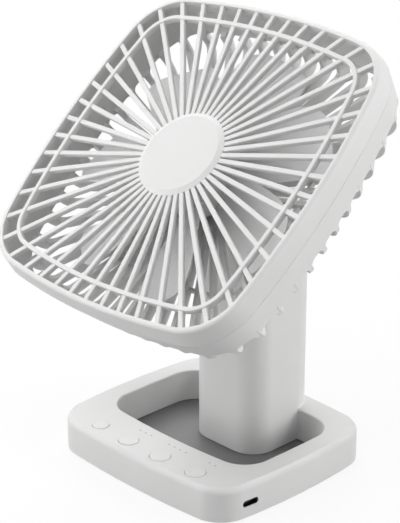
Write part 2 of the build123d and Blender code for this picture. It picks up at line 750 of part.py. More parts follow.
def rib_roots():
    """Webs that widen each rear rib, with a round corner at each side, where it leaves the side wall."""
    half = REAR_RIB_WIDE / 2 + RIB_ROOT
    web = Pos(0, -RIB_ROOT / 2) * Rectangle(2 * half, RIB_ROOT)
    web -= [Pos(sign * half, -RIB_ROOT) * Circle(RIB_ROOT) for sign in (-1, 1)]
    inner = RIM_HALF - RIM_CORNER / 2
    plane = Plane(origin=(inner, 0, -REAR_EDGE), x_dir=(0, 1, 0), z_dir=(1, 0, 0))
    one = extrude(plane * web, amount=RIM_HALF - inner + RIM_CORNER)
    return [Rot(0, 0, 360 / RIB_COUNT * turn) * one for turn in range(RIB_COUNT)]


def rear_grille():
    wall_deep = REAR_EDGE - PARTING
    taper = degrees(atan2(GIRTH - REAR_GROW, wall_deep))
    wall = prism(head_outline(GIRTH), PARTING, REAR_EDGE, taper)
    wall -= prism(head_outline(GIRTH - SHELL), PARTING, REAR_EDGE, taper)
    wall = Rot(180, 0, 0) * wall
    pan_grow = REAR_GROW - PAN_INSET
    pan = prism(head_outline(pan_grow), -REAR_FACE, -REAR_EDGE + SHELL)
    pan = fillet(pan.edges().group_by(Axis.Z)[0], REAR_ROUND)
    hollow = prism(head_outline(pan_grow - REAR_RIB_DEEP), -REAR_FACE + REAR_RIB_DEEP, 0)
    hollow = fillet(hollow.edges().group_by(Axis.Z)[0], REAR_ROUND - REAR_RIB_DEEP)
    star = prism(rib_star(REAR_RIB, REAR_RIB_WIDE, HUB_PLATE), -REAR_FACE - PAST, 0)
    plate_top = -REAR_FACE + HUB_PLATE_DEEP
    ring = rear_ring(0) - rear_ring(-REAR_RING_WIDE)
    grille = wall + ((pan - hollow) & (star + rib_roots()))
    grille += prism(ring, -REAR_FACE, -REAR_FACE + HUB_PLATE_THICK)
    grille += rod(HUB_PLATE, -REAR_FACE, plate_top)
    grille -= rod(HUB_PLATE, plate_top, 0)
    grille -= rod(HOLDER_FLANGE + 2 * SEAT_PLAY, -REAR_FACE + HUB_PLATE_THICK, 0)
    for place in motor_screw_spots() + holder_screw_spots():
        grille -= rod(PILOT, -REAR_FACE - PAST, 0, *place)
    grille -= rod(LEAD_HOLE, -REAR_FACE - PAST, 0, LEAD_X)
    return grille


def rear_ring(grow):
    half = REAR_RING_HALF + grow
    return bulged_rectangle(half, half, REAR_RING_CORNER + grow, RING_BULGE + grow, RING_BULGE + grow)


def motor_cover():
    """Round cover over the motor's lead, with the neck and the hinge knuckle moulded on."""
    floor = -BULGE_DEPTH + BULGE_THICK
    cover = fillet(rod(BULGE_RADIUS, -BULGE_DEPTH, -REAR_FACE).edges().group_by(Axis.Z)[0], BULGE_ROUND)
    cover -= rod(BULGE_RADIUS - BULGE_THICK, floor, -REAR_FACE)
    neck = block((-KNUCKLE_HALF, KNUCKLE_HALF), (-NECK_HALF, NECK_HALF), (-PIVOT_DEPTH, floor))
    cover += neck + rod_x(KNUCKLE, KNUCKLE_HALF, 0, -PIVOT_DEPTH)
    cover -= rod_x(PIN + RUN, KNUCKLE_HALF + PAST, 0, -PIVOT_DEPTH)
    for place in motor_screw_spots():
        cover += rod(BULGE_BOSS, floor, -REAR_FACE, *place)
        cover -= rod(SCREW_HOLE, -BULGE_DEPTH - PAST, -REAR_FACE + PAST, *place)
        cover -= rod(SCREW_SINK, -BULGE_DEPTH - PAST, -BULGE_DEPTH + BULGE_SINK, *place)
    return cover


def motor_cover_screws():
    turned = Rot(180, 0, 0) * screw(7.2)
    return group(Pos(x, y, -BULGE_DEPTH + BULGE_SINK) * turned for x, y in motor_screw_spots())


# Motor


def bearing_holder():
    """Tube that carries both bearings and the stator, on a flange screwed to the rear grille."""
    floor = -REAR_FACE + HUB_PLATE_THICK
    holder = rod(HOLDER_FLANGE, floor, floor + HOLDER_THICK) + rod(HOLDER_COLLAR, floor, BOARD_DEPTH)
    holder += rod(TUBE, floor, TUBE_FRONT)
    holder -= rod(BEARING + FIT, REAR_BEARING, TUBE_FRONT)
    holder -= rod(BEARING - BEARING_LIP, floor, REAR_BEARING)
    for place in holder_screw_spots():
        holder -= rod(SCREW_HOLE, floor, floor + HOLDER_THICK + PAST, *place)
    return holder


def holder_screws():
    seat = -REAR_FACE + HUB_PLATE_THICK + HOLDER_THICK
    return group(Pos(x, y, seat) * screw(3.6, head=1.9, head_high=1.1) for x, y in holder_screw_spots())


def bearing(low):
    """Ball bearing, drawn as its two rings and the shield between them."""
    ring = rod(BEARING, low, low + BEARING_WIDE) - rod(SHAFT + RUN, low, low + BEARING_WIDE)
    shield = low + SHIELD_DEEP
    groove = rod(BEARING - BEARING_LIP, low, shield) - rod(SHAFT + BEARING_LIP, low, shield)
    return ring - groove - Pos(0, 0, BEARING_WIDE - SHIELD_DEEP) * groove


def stator_core():
    """Stack of steel sheets with wound teeth."""
    pole = STATOR - SHOE
    step = 360 / TEETH
    tooth = Pos((pole + SHOE / 2) / 2, 0) * Rectangle(pole + SHOE / 2, TOOTH)
    gap = Pos(STATOR, 0) * Rectangle(4 * SHOE, TOOTH)
    core = Circle(STATOR_YOKE) + [Rot(0, 0, step * turn) * tooth for turn in range(TEETH)]
    shoes = Circle(STATOR) - Circle(pole)
    shoes -= [Rot(0, 0, step * (turn + 0.5)) * gap for turn in range(TEETH)]
    return prism(core + shoes - Circle(TUBE + FIT), -STATOR_REAR, -STATOR_FRONT)


def stator_windings():
    half = TOOTH / 2 + COIL_PLAY
    coil = block(COIL, (-COIL_HALF, COIL_HALF), (-STATOR_REAR - COIL_END, -STATOR_FRONT + COIL_END))
    coil -= block((0, STATOR), (-half, half), (-STATOR_REAR - COIL_PLAY, -STATOR_FRONT + COIL_PLAY))
    return group(Rot(0, 0, 360 / TEETH * turn) * coil for turn in range(TEETH))


def motor_board():
    front = BOARD_DEPTH + BOARD_THICK
    return rod(STATOR, BOARD_DEPTH, front) - rod(TUBE + 2 * SEAT_PLAY, BOARD_DEPTH, front)


def motor_lead():
    """Lead from the motor's board through the rear grille into the cover."""
    turn = -REAR_FACE - 2.5
    end = -REAR_FACE - 4.5
    route = [(LEAD_X, 0, BOARD_DEPTH), (LEAD_X, 0, turn), (LEAD_X + 6, 0, end), (LEAD_X + 13, 0, end)]
    path = FilletPolyline(*route, radius=3)
    return sweep(Plane(origin=route[0], z_dir=path % 0) * Circle(MOTOR_LEAD), path=path)


# Impeller


def blade_section(radius):
    """Slice across a blade: thin, hollow towards the front, and pitched."""
    share = (radius - HUB) / (BLADE_TIP - HUB)
    chord = BLADE_ROOT_CHORD + share * (BLADE_TIP_CHORD - BLADE_ROOT_CHORD)
    rise = BLADE_ROOT_RISE + share * (BLADE_TIP_RISE - BLADE_ROOT_RISE)
    half = chord / 2
    edge = BLADE_EDGE / 2
    belly = BLADE_THICK / 2
    upper = ThreePointArc((-half, -rise / 2 + edge), (0, belly - BLADE_CAMBER), (half, rise / 2 + edge))
    lower = ThreePointArc((half, rise / 2 - edge), (0, -belly - BLADE_CAMBER), (-half, -rise / 2 - edge))
    face = make_face([upper, Line(upper @ 1, lower @ 0), lower, Line(lower @ 1, upper @ 0)])
    plane = Plane(origin=(radius, -share * BLADE_SWEEP, -BLADE_MID_DEPTH), x_dir=(0, 1, 0), z_dir=(1, 0, 0))
    return plane * face


def blade():
    middle = (HUB + BLADE_TIP) / 2
    body = loft([blade_section(radius) for radius in (HUB - 4, middle, BLADE_TIP + 3)])
    plan = Pos(BLADE_TIP / 2, -BLADE_SWEEP) * RectangleRounded(BLADE_TIP, BLADE_TIP_CHORD, BLADE_TIP_ROUND)
    plan = (plan + Pos(HUB, 0) * Rectangle(2 * HUB, 3 * HUB)) & Circle(BLADE_TIP)
    return body & prism(plan, -REAR_FACE, 0)


def impeller():
    hub = rod(HUB, -HUB_SKIRT, -HUB_FACE)
    hub = fillet(hub.edges().group_by(Axis.Z)[-1], HUB_ROUND)
    one = blade()
    hub += [Rot(0, 0, BLADE_PHASE + 360 / BLADE_COUNT * turn) * one for turn in range(BLADE_COUNT)]
    hub -= rod(HUB - HUB_WALL, -REAR_FACE, -HUB_FACE - HUB_ROOF)
    hub += rod(HUB_BOSS_RADIUS, HUB_BOSS, -HUB_FACE - HUB_ROOF / 2)
    return hub - rod(SHAFT + FIT, HUB_BOSS, -HUB_FACE - HUB_ROOF / 2)


def rotor_can():
    top = -HUB_FACE - HUB_ROOF
    can = rod(YOKE_CAN, -HUB_SKIRT + CAN_SET_BACK, top) - rod(MAGNET + COIL_PLAY, -HUB_SKIRT, top - CAN_THICK)
    return can - rod(HUB_BOSS_RADIUS + 2 * SEAT_PLAY, top - CAN_THICK, top)


def magnet_ring():
    low, high = -HUB_SKIRT + 2 * CAN_SET_BACK, -MAGNET_FRONT
    return rod(MAGNET, low, high) - rod(MAGNET - MAGNET_THICK, low, high)


def motor_shaft():
    shaft = rod(SHAFT, SHAFT_END, -HUB_FACE - HUB_ROOF / 2 - COIL_PLAY)
    return chamfer(shaft.edges().group_by(Axis.Z)[0], SHAFT_EDGE)


def shaft_clip():
    """Spring clip under the rear bearing that keeps the shaft in."""
    high = REAR_BEARING - CLIP_RING_THICK / 2
    low = high - CLIP_RING_THICK
    ring = rod(CLIP_RING, low, high) - rod(SHAFT + FIT, low, high)
    return ring - block((0, CLIP_RING), (-SHAFT / 2, SHAFT / 2), (low, high))


stand = {
    "base_shell": base_shell(),
    "post_cover": post_cover(),
    "post_cover_screws": post_cover_screws(),
    "bottom_cover": bottom_cover(),
    "base_screws": base_screws(),
    "base_mat": base_mat(),
    "base_weights": base_weights(),
    "control_board": control_board(),
    "board_spacers": board_spacers(),
    "board_screws": board_screws(),
    "tact_switches": tact_switches(),
    "board_chips": board_chips(),
    "usb_socket": usb_socket(),
    "usb_tongue": usb_tongue(),
    "battery_cells": battery_cells(),
    "battery_straps": battery_straps(),
    "battery_cradle": battery_cradle(),
    "cradle_screws": cradle_screws(),
    "supply_lead": supply_lead(),
    "hinge_yoke": hinge_yoke(),
    "yoke_screws": yoke_screws(),
    "hinge_pin": hinge_pin(),
    "friction_washers": friction_washers(),
}
for node, x, radius in zip(BUTTON_NODES, BUTTON_X, BUTTON_RADIUS):
    stand[node] = button(x, radius)

head = {
    "front_grille": front_grille(),
    "grille_cap": grille_cap(),
    "rear_grille": rear_grille(),
    "motor_cover": motor_cover(),
    "motor_cover_screws": motor_cover_screws(),
    "bearing_holder": bearing_holder(),
    "holder_screws": holder_screws(),
    "front_bearing": bearing(FRONT_BEARING),
    "rear_bearing": bearing(REAR_BEARING),
    "stator_core": stator_core(),
    "stator_windings": stator_windings(),
    "motor_board": motor_board(),
    "motor_lead": motor_lead(),
    "impeller": impeller(),
    "rotor_can": rotor_can(),
    "magnet_ring": magnet_ring(),
    "motor_shaft": motor_shaft(),
    "shaft_clip": shaft_clip(),
}

os.makedirs("parts", exist_ok=True)
for node, shape in stand.items():
    export_step(shape, f"parts/{node}.step")
for node, shape in head.items():
    export_step(HEAD * shape, f"parts/{node}.step")
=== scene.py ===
import json
from math import atan2, cos, pi, radians, sin, sqrt, tan

import bmesh
import bpy
from mathutils import Matrix, Vector


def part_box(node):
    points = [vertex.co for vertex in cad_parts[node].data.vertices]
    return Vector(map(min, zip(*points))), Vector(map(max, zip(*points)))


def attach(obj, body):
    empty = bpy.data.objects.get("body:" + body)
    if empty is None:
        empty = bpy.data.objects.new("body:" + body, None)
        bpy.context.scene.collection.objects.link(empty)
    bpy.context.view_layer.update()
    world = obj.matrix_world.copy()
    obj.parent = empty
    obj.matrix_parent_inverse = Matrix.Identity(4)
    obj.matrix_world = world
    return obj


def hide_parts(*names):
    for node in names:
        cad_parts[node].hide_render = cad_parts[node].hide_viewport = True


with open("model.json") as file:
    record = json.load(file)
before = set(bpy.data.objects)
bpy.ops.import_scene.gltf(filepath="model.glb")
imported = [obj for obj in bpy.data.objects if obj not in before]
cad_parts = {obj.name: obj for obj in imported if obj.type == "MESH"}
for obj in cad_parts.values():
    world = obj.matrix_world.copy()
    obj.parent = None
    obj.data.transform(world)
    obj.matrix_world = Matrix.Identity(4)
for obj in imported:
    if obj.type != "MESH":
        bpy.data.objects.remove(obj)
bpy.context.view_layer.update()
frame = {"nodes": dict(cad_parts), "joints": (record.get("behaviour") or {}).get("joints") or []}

# Non-slip mat: a silicone sheet under the whole base, which also shows as the floor of the recess.
# Its grey is painted shade: a dark sheet put where the recess floor lies in shade.
# It is die-cut from rolled sheet with a fine even grain, and glued to the bottom cover.
mm = 0.001


class Wire:
    """One socket of a node tree. Sums of wires and numbers add Math nodes, and node() adds any other node."""

    def __init__(self, tree, socket=None):
        self.tree = tree
        self.socket = socket

    def node(self, kind, settings=None, inputs=None, output=0):
        added = self.tree.nodes.new(kind)
        for name, value in (settings or {}).items():
            setattr(added, name, value)
        for key, value in (inputs or {}).items():
            if isinstance(value, Wire):
                self.tree.links.new(value.socket, added.inputs[key])
            else:
                added.inputs[key].default_value = value
        return Wire(self.tree, added.outputs[output])

    def math(self, operation, left, right=0.0):
        return self.node("ShaderNodeMath", {"operation": operation}, {0: left, 1: right})

    def __add__(self, other):
        return self.math("ADD", self, other)

    def __sub__(self, other):
        return self.math("SUBTRACT", self, other)

    def __rsub__(self, other):
        return self.math("SUBTRACT", other, self)

    def __mul__(self, other):
        return self.math("MULTIPLY", self, other)

    def __truediv__(self, other):
        return self.math("DIVIDE", self, other)

    __radd__ = __add__
    __rmul__ = __mul__


def open_finish(name):
    """A new material and the wire of its object coordinates."""
    material = bpy.data.materials.new(name)
    material.use_nodes = True
    return material, Wire(material.node_tree).node("ShaderNodeTexCoord", output="Object")


def set_finish(material, values):
    """Sets or links the shader's own sockets."""
    shader = material.node_tree.nodes["Principled BSDF"]
    for name, value in values.items():
        if isinstance(value, Wire):
            material.node_tree.links.new(value.socket, shader.inputs[name])
        else:
            shader.inputs[name].default_value = value
    return material


def noise(here, size, detail=2.0):
    """Cloudy pattern from 0 to 1 with features of the given size."""
    return here.node("ShaderNodeTexNoise", inputs={"Vector": here, "Scale": 1 / size, "Detail": detail})


def between(value, low, high):
    """0 below low, 1 above high, and smooth in between."""
    settings = {"interpolation_type": "SMOOTHSTEP"}
    return value.node("ShaderNodeMapRange", settings, {"Value": value, "From Min": low, "From Max": high})


def blend(factor, first, second):
    """Mix of two colours."""
    colours = {0: factor, 6: (*first, 1.0), 7: (*second, 1.0)}
    return factor.node("ShaderNodeMix", {"data_type": "RGBA"}, colours, output=2)


def relief(height, depth, strength):
    """Raises a pattern by a depth in the shading alone."""
    return height.node("ShaderNodeBump", inputs={"Height": height, "Distance": depth, "Strength": strength})


flow_size = 38.0 * mm


def moulded(name, colour, rough, grain=0.45 * mm, deep=0.02 * mm, shade=0.97):
    """Moulded plastic: an even eroded grain, and a faint unevenness of tone and gloss from the flow."""
    material, here = open_finish(name)
    fine = noise(here, grain, detail=3.0)
    flow = between(noise(here, flow_size), 0.3, 0.7)
    return set_finish(material, {
        "Base Color": blend(flow, [shade * part for part in colour], colour),
        "Roughness": rough + 0.10 * (fine - 0.5) + 0.05 * (flow - 0.5),
        "Normal": relief(fine, deep, 0.5),
        "IOR": 1.5,
    })


def paint(node, material):
    """Gives a CAD node its finish."""
    frame["nodes"][node].data.materials.clear()
    frame["nodes"][node].data.materials.append(material)


# The mat's dark grey colour is painted shade for the floor of the recess.
silicone = moulded("painted shade silicone", (0.20, 0.20, 0.205), 0.46, 0.7 * mm, 0.03 * mm, 0.93)
paint("base_mat", silicone)

# Bottom cover: a plain grey moulding behind the mat that closes the hollow bars from below.
# Four screws go up through it into the shell, and two steel bars lie on it against tipping.
grey_plastic = moulded("grey plastic", (0.30, 0.30, 0.31), 0.55)
drawn_line = 1.6 * mm
drawn_line_deep = 0.01 * mm
drawn_stretch = (1.0, 1.0, 24.0)
stain_size = 6.0 * mm


def metal(name, colour, rough):
    """Bare metal with fine drawn lines and a little tarnish."""
    material, here = open_finish(name)
    drawn = here.node("ShaderNodeMapping", inputs={"Vector": here, "Scale": drawn_stretch})
    lines = noise(drawn, drawn_line, detail=4.0)
    stain = between(noise(here, stain_size, detail=3.0), 0.35, 0.75)
    return set_finish(material, {
        "Base Color": blend(stain, colour, [0.82 * part for part in colour]),
        "Metallic": 1.0,
        "Roughness": rough + 0.16 * (lines - 0.5) + 0.08 * stain,
        "Normal": relief(lines, drawn_line_deep, 0.35),
    })


steel = metal("bright steel", (0.62, 0.62, 0.63), 0.30)
dark_steel = metal("dark steel", (0.20, 0.20, 0.21), 0.45)
paint("bottom_cover", grey_plastic)
paint("base_screws", steel)
paint("base_weights", dark_steel)

# Control board: green glass-fibre board behind the buttons, on two spacers, with switches and chips.
# Its solder mask shows the copper lines under it as a slight change of green.
trace_pitch = 3.2 * mm
trace_high = 0.03 * mm


def board_finish(name):
    """Green solder mask over square patches of copper."""
    material, here = open_finish(name)
    cells = here.node(
        "ShaderNodeTexVoronoi",
        {"distance": "CHEBYCHEV", "feature": "F1"},
        {"Vector": here, "Scale": 1 / trace_pitch, "Randomness": 0.7},
    )
    trace = between(cells, 0.36, 0.42)
    return set_finish(material, {
        "Base Color": blend(trace, (0.012, 0.085, 0.035), (0.022, 0.150, 0.060)),
        "Roughness": 0.34 - 0.08 * trace,
        "Normal": relief(trace, trace_high, 0.6),
    })


board = board_finish("green board")
black_plastic = moulded("black plastic", (0.018, 0.018, 0.019), 0.42, 0.3 * mm, 0.01 * mm)
for node in ("control_board", "motor_board"):
    paint(node, board)
for node in ("board_spacers", "tact_switches", "board_chips", "usb_tongue"):
    paint(node, black_plastic)
paint("board_screws", steel)

# Charging socket: a drawn metal shell, near black, and a black tongue with gold contacts on both its faces.
# The shell's near-black is painted shade, so the slot reads dark inside.
# It stands on the board's tail just behind the slot in the right wall.
contact_count = 12
contact_pitch = 0.5 * mm
contact_wide = 0.26 * mm
contact_thick = 0.03 * mm
contact_long = 3.6 * mm
contact_back = 0.4 * mm


def as_mesh(name, shape):
    """Plain mesh of a finished bmesh."""
    mesh = bpy.data.meshes.new(name)
    shape.to_mesh(mesh)
    shape.free()
    return mesh


def as_object(name, mesh, material=None):
    """Puts a mesh in the scene, with its finish where it has one."""
    piece = bpy.data.objects.new(name, mesh)
    bpy.context.scene.collection.objects.link(piece)
    if material:
        mesh.materials.clear()
        mesh.materials.append(material)
    return piece


def new_tree(name, inputs):
    """Node tree for a mesh, with named inputs; returns it and a wire for each input."""
    tree = bpy.data.node_groups.new(name, "GeometryNodeTree")
    tree.interface.new_socket(name="Geometry", in_out="OUTPUT", socket_type="NodeSocketGeometry")
    for label, kind in {"Geometry": "Geometry", **inputs, "Material": "Material"}.items():
        tree.interface.new_socket(name=label, in_out="INPUT", socket_type="NodeSocket" + kind)
    given = tree.nodes.new("NodeGroupInput")
    return tree, {socket.name: Wire(tree, socket) for socket in given.outputs if socket.name}


def close_tree(geometry, material):
    """Ends a tree in plain geometry with its material."""
    solid = geometry.node("GeometryNodeRealizeInstances", inputs={"Geometry": geometry})
    solid = solid.node("GeometryNodeSetMaterial", inputs={"Geometry": solid, "Material": material})
    out = geometry.tree.nodes.new("NodeGroupOutput")
    geometry.tree.links.new(solid.socket, out.inputs[0])


def baked(piece):
    """Plain mesh of a piece with its modifiers applied."""
    graph = bpy.context.evaluated_depsgraph_get()
    return bpy.data.meshes.new_from_object(piece.evaluated_get(graph), depsgraph=graph)


def run_tree(tree, mesh, values):
    """Runs a tree on a mesh and returns the plain mesh that comes out."""
    carrier = as_object(tree.name, mesh)
    modifier = carrier.modifiers.new(tree.name, "NODES")
    modifier.node_group = tree
    for item in tree.interface.items_tree:
        if item.in_out == "INPUT" and item.name in values:
            modifier[item.identifier] = values[item.name]
    result = baked(carrier)
    bpy.data.objects.remove(carrier)
    return result


def row_tree():
    """Copies of the input in a straight row, centred on it."""
    tree, given = new_tree("copies in a row", {"Count": "Int", "Step": "Vector"})
    index = given["Count"].node("GeometryNodeInputIndex")
    place = index - (given["Count"] - 1) / 2
    spot = place.node("ShaderNodeVectorMath", {"operation": "SCALE"}, {0: given["Step"], "Scale": place})
    points = place.node("GeometryNodePoints", inputs={"Count": given["Count"], "Position": spot})
    copies = {"Points": points, "Instance": given["Geometry"]}
    close_tree(points.node("GeometryNodeInstanceOnPoints", inputs=copies), given["Material"])
    return tree


def bar(low, high):
    """Block between two corners."""
    shape = bmesh.new()
    bmesh.ops.create_cube(shape, size=1.0)
    size = [top - bottom for bottom, top in zip(low, high)]
    bmesh.ops.scale(shape, vec=size, verts=shape.verts)
    bmesh.ops.translate(shape, vec=[(top + bottom) / 2 for bottom, top in zip(low, high)], verts=shape.verts)
    return as_mesh("bar", shape)


def joined(name, meshes, place=None):
    """One mesh from several, moved to its place."""
    shape = bmesh.new()
    for mesh in meshes:
        shape.from_mesh(mesh)
    if place:
        shape.transform(place)
    bmesh.ops.recalc_face_normals(shape, faces=shape.faces)
    return as_mesh(name, shape)


row = row_tree()
gold = metal("gold plate", (0.83, 0.60, 0.25), 0.26)
tongue_low, tongue_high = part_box("usb_tongue")
tongue_middle = (tongue_low + tongue_high) / 2
contact_front = tongue_high.x - contact_back
contact_meshes = []
for face in (tongue_low.z - contact_thick, tongue_high.z):
    pad = bar(
        (contact_front - contact_long, tongue_middle.y - contact_wide / 2, face),
        (contact_front, tongue_middle.y + contact_wide / 2, face + contact_thick),
    )
    layout = {"Count": contact_count, "Step": (0, contact_pitch, 0), "Material": gold}
    contact_meshes.append(run_tree(row, pad, layout))
usb_contacts = as_object("usb_contacts", joined("usb_contacts", contact_meshes), gold)
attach(usb_contacts, "stand")
# The shell's near-black colour is painted shade inside the charging slot.
paint("usb_socket", metal("painted shade dark shell", (0.030, 0.030, 0.032), 0.42))

# Battery: two round cells in shrink sleeve, joined by nickel strips, in a tray that is screwed into the post.
# A soft lead brings the current from the board through the left bar and the rear bar.
sleeve = moulded("blue cell sleeve", (0.035, 0.12, 0.30), 0.30, 2.5 * mm, 0.05 * mm, 0.85)
lead_cover = moulded("lead insulation", (0.16, 0.16, 0.165), 0.38, 1.0 * mm, 0.02 * mm)
paint("battery_cells", sleeve)
paint("battery_straps", steel)
paint("battery_cradle", grey_plastic)
paint("cradle_screws", steel)
paint("supply_lead", lead_cover)
paint("motor_lead", lead_cover)

# Friction hinge: a grey yoke in the top of the post holds a steel pin and two dark spring washers.
# The head's knuckle turns on the pin, and the washers hold it where it is put.
for node, finish in (
    ("hinge_yoke", grey_plastic),
    ("yoke_screws", steel),
    ("hinge_pin", steel),
    ("friction_washers", dark_steel),
):
    paint(node, finish)

# Base shell: the base's bars, the walls of its recess and the post, one moulding in matte white plastic.
# The outer walls round over to the flat top, and the button holes and the charging slot are cut in.
white_colour = (0.77, 0.77, 0.765)
white = moulded("matte white plastic", white_colour, 0.48)
hard_edge = radians(32)
weld = 0.002 * mm


def smoothed(name, mesh, material):
    """Smooth shading that keeps flat faces flat and hard edges hard."""
    piece = as_object(name, mesh, material)
    mesh.shade_smooth()
    mesh.set_sharp_from_angle(angle=hard_edge)
    weighted = piece.modifiers.new("weighted", "WEIGHTED_NORMAL")
    weighted.keep_sharp = True
    result = baked(piece)
    piece.modifiers.remove(weighted)
    piece.data = result
    result.name = name
    return piece


def refined(node, material, body):
    """Stands a merged, smoothly shaded copy in for a CAD node."""
    shape = bmesh.new()
    shape.from_mesh(frame["nodes"][node].data)
    bmesh.ops.remove_doubles(shape, verts=shape.verts, dist=weld)
    mesh = as_mesh(node, shape)
    for left_over in ("custom_normal", "sharp_edge", "sharp_face"):
        if left_over in mesh.attributes:
            mesh.attributes.remove(mesh.attributes[left_over])
    piece = smoothed(node + "_skin", mesh, material)
    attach(piece, body)
    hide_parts(node)
    return piece


for node in ("base_shell", "post_cover"):
    refined(node, white, "stand")
paint("post_cover_screws", steel)

# Push buttons: four white caps in the front bar, each with a shallow dish, that stand a little proud of it.
# Each slides on its own switch, and its flange under the bar keeps it in.
button_white = moulded("satin white plastic", white_colour, 0.40, 0.3 * mm, 0.01 * mm)
button_ease = 0.08 * mm
for node in ("timer_button", "speed_down_button", "speed_up_button", "power_button"):
    button = refined(node, button_white, node)
    low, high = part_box(node)
    axis = Vector(((low.x + high.x) / 2, (low.y + high.y) / 2, 0))
    grow = 1 + 2 * button_ease / (high.x - low.x)
    button.data.transform(
        Matrix.Translation(axis) @ Matrix.Diagonal((grow, grow, 1, 1)) @ Matrix.Translation(-axis)
    )

# Marks: rows of small grey dots behind the buttons, which count off the hours and the speed steps.
# They are thin ink, pad-printed on the front bar after moulding.
mark_counts = {"timer_button": 5, "speed_down_button": 3, "speed_up_button": 4, "power_button": 2}
mark_step = 4.2 * mm
mark_radius = 0.5 * mm
mark_thick = 0.02 * mm
mark_back = 12.0 * mm
mark_sides = 16
button_proud = 0.5 * mm
joint_weld = 0.001 * mm


def circle(steps=96):
    """A round outline for turned pieces; its profile gives the radius."""
    turns = [2 * pi * step / steps for step in range(steps)]
    return [(Vector((0, 0, 0)), Vector((cos(turn), sin(turn), 0))) for turn in turns]


def lofted(name, columns):
    """Closed mesh through a ring of columns, each a closed loop of as many points."""
    shape = bmesh.new()
    loops = [[shape.verts.new(spot) for spot in column] for column in columns]
    for last, loop in zip(loops[-1:] + loops, loops):
        for index in range(len(loop)):
            shape.faces.new((last[index - 1], last[index], loop[index], loop[index - 1]))
    bmesh.ops.remove_doubles(shape, verts=shape.verts, dist=joint_weld)
    bmesh.ops.recalc_face_normals(shape, faces=shape.faces)
    return as_mesh(name, shape)


def column_at(spot, out, path):
    """A profile of (out, z) points that stands on one point of an outline."""
    return [spot + out * grow + Vector((0, 0, z)) for grow, z in path]


def swept(name, outline, path):
    """Carries a closed profile of (out, z) points round an outline."""
    return lofted(name, [column_at(spot, out, path) for spot, out in outline])


ink = moulded("grey ink", (0.42, 0.42, 0.43), 0.55, 0.2 * mm, 0.005 * mm)
mark_meshes = []
for node, count in mark_counts.items():
    low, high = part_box(node)
    spot = Vector(((low.x + high.x) / 2, (low.y + high.y) / 2 + mark_back, high.z - button_proud))
    section = ((0, 0), (mark_radius, 0), (mark_radius, mark_thick), (0, mark_thick))
    flat_dot = swept("dot", circle(mark_sides), section)
    dot = joined("dot", (flat_dot,), Matrix.Translation(spot))
    mark_meshes.append(run_tree(row, dot, {"Count": count, "Step": (mark_step, 0, 0), "Material": ink}))
button_marks = as_object("button_marks", joined("button_marks", mark_meshes), ink)
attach(button_marks, "stand")

# Rear grille: the rear half of the head's side wall, and 48 ribs that turn in from it to a round plate.
# It is one white moulding, and a square ring ties the ribs together half way.
spin = next(joint for joint in frame["joints"] if joint["name"] == "impeller_spin")
out_of_face = -Vector(spin["axis"])
across_face = Vector((1, 0, 0))
head_frame = Matrix.Translation(spin["pos_m"]) @ Matrix(
    (across_face, out_of_face.cross(across_face), out_of_face)
).transposed().to_4x4()
rim_half = 85.7 * mm
rim_corner = 28.4 * mm
rim_bulge = 400.0 * mm  # radius of the arched sides
parting = 10.6 * mm     # depth of the line where the two grilles meet
girth = 4.27 * mm       # how far that line stands out from the rim's inner edge
rear_edge = 26.0 * mm   # depth of the side wall's rear edge
rear_grow = 0.8 * mm    # how far that edge stands out
rear_face = 36.0 * mm   # depth of the rear ribs' outer face
wall = 1.8 * mm
wall_rows = 8
soft_edge = 0.45 * mm
groove = 0.12 * mm
groove_deep = 0.8 * mm
rib_count = 48
rear_rib = 3.2 * mm
rear_rib_hub = 2.2 * mm
rear_rib_deep = 6.5 * mm
rear_rib_edge = 0.5 * mm
rear_round = 9.6 * mm
rear_inset = 0.05 * mm  # how far the ribs start inside the wall's outer face
rib_root = 2.9 * mm     # round corner between a rib and the wall's edge
bend_steps = 8
edge_steps = 3
rear_ring_half = 54.0 * mm
rear_ring_corner = 16.0 * mm
ring_bulge = 370.0 * mm
rear_ring_wide = 2.0 * mm
rear_ring_deep = 3.0 * mm
rear_ring_round = 0.4 * mm
hub_plate = 24.0 * mm
hub_plate_deep = 4.5 * mm
hub_plate_round = 0.5 * mm
in_line = 1e-12


def bulged_square(half, corner, bulge, steps=10):
    """Points and outward directions round a square with arched sides and round corners."""
    side = half - bulge
    reach = bulge - corner
    middle = (side + sqrt(2 * reach**2 - side**2)) / 2
    turn = atan2(middle, middle - side)
    quarter = []
    arcs = ((side, 0, bulge, -turn, turn), (middle, middle, corner, turn, pi / 2 - turn))
    for x, y, radius, start, stop in arcs:
        for step in range(steps):
            angle = start + (stop - start) * step / steps
            out = Vector((cos(angle), sin(angle), 0))
            quarter.append((Vector((x, y, 0)) + radius * out, out))
    turns = [Matrix.Rotation(pi / 2 * count, 3, "Z") for count in range(4)]
    return [(turned @ spot, turned @ out) for turned in turns for spot, out in quarter]


def profile(corners, steps=4):
    """Path through corners (out, z, radius), each rounded by an arc of its radius."""
    path = []
    for index, (out, z, radius) in enumerate(corners):
        here = Vector((out, z))
        if not radius:
            path.append(here)
            continue
        to_last = (Vector(corners[index - 1][:2]) - here).normalized()
        to_next = (Vector(corners[(index + 1) % len(corners)][:2]) - here).normalized()
        half = to_last.angle(to_next) / 2
        centre = here + (to_last + to_next).normalized() * radius / sin(half)
        start = here + to_last * radius / tan(half) - centre
        bend = start.angle_signed(here + to_next * radius / tan(half) - centre)
        for step in range(steps + 1):
            path.append(centre + Matrix.Rotation(-bend * step / steps, 2) @ start)
    return path


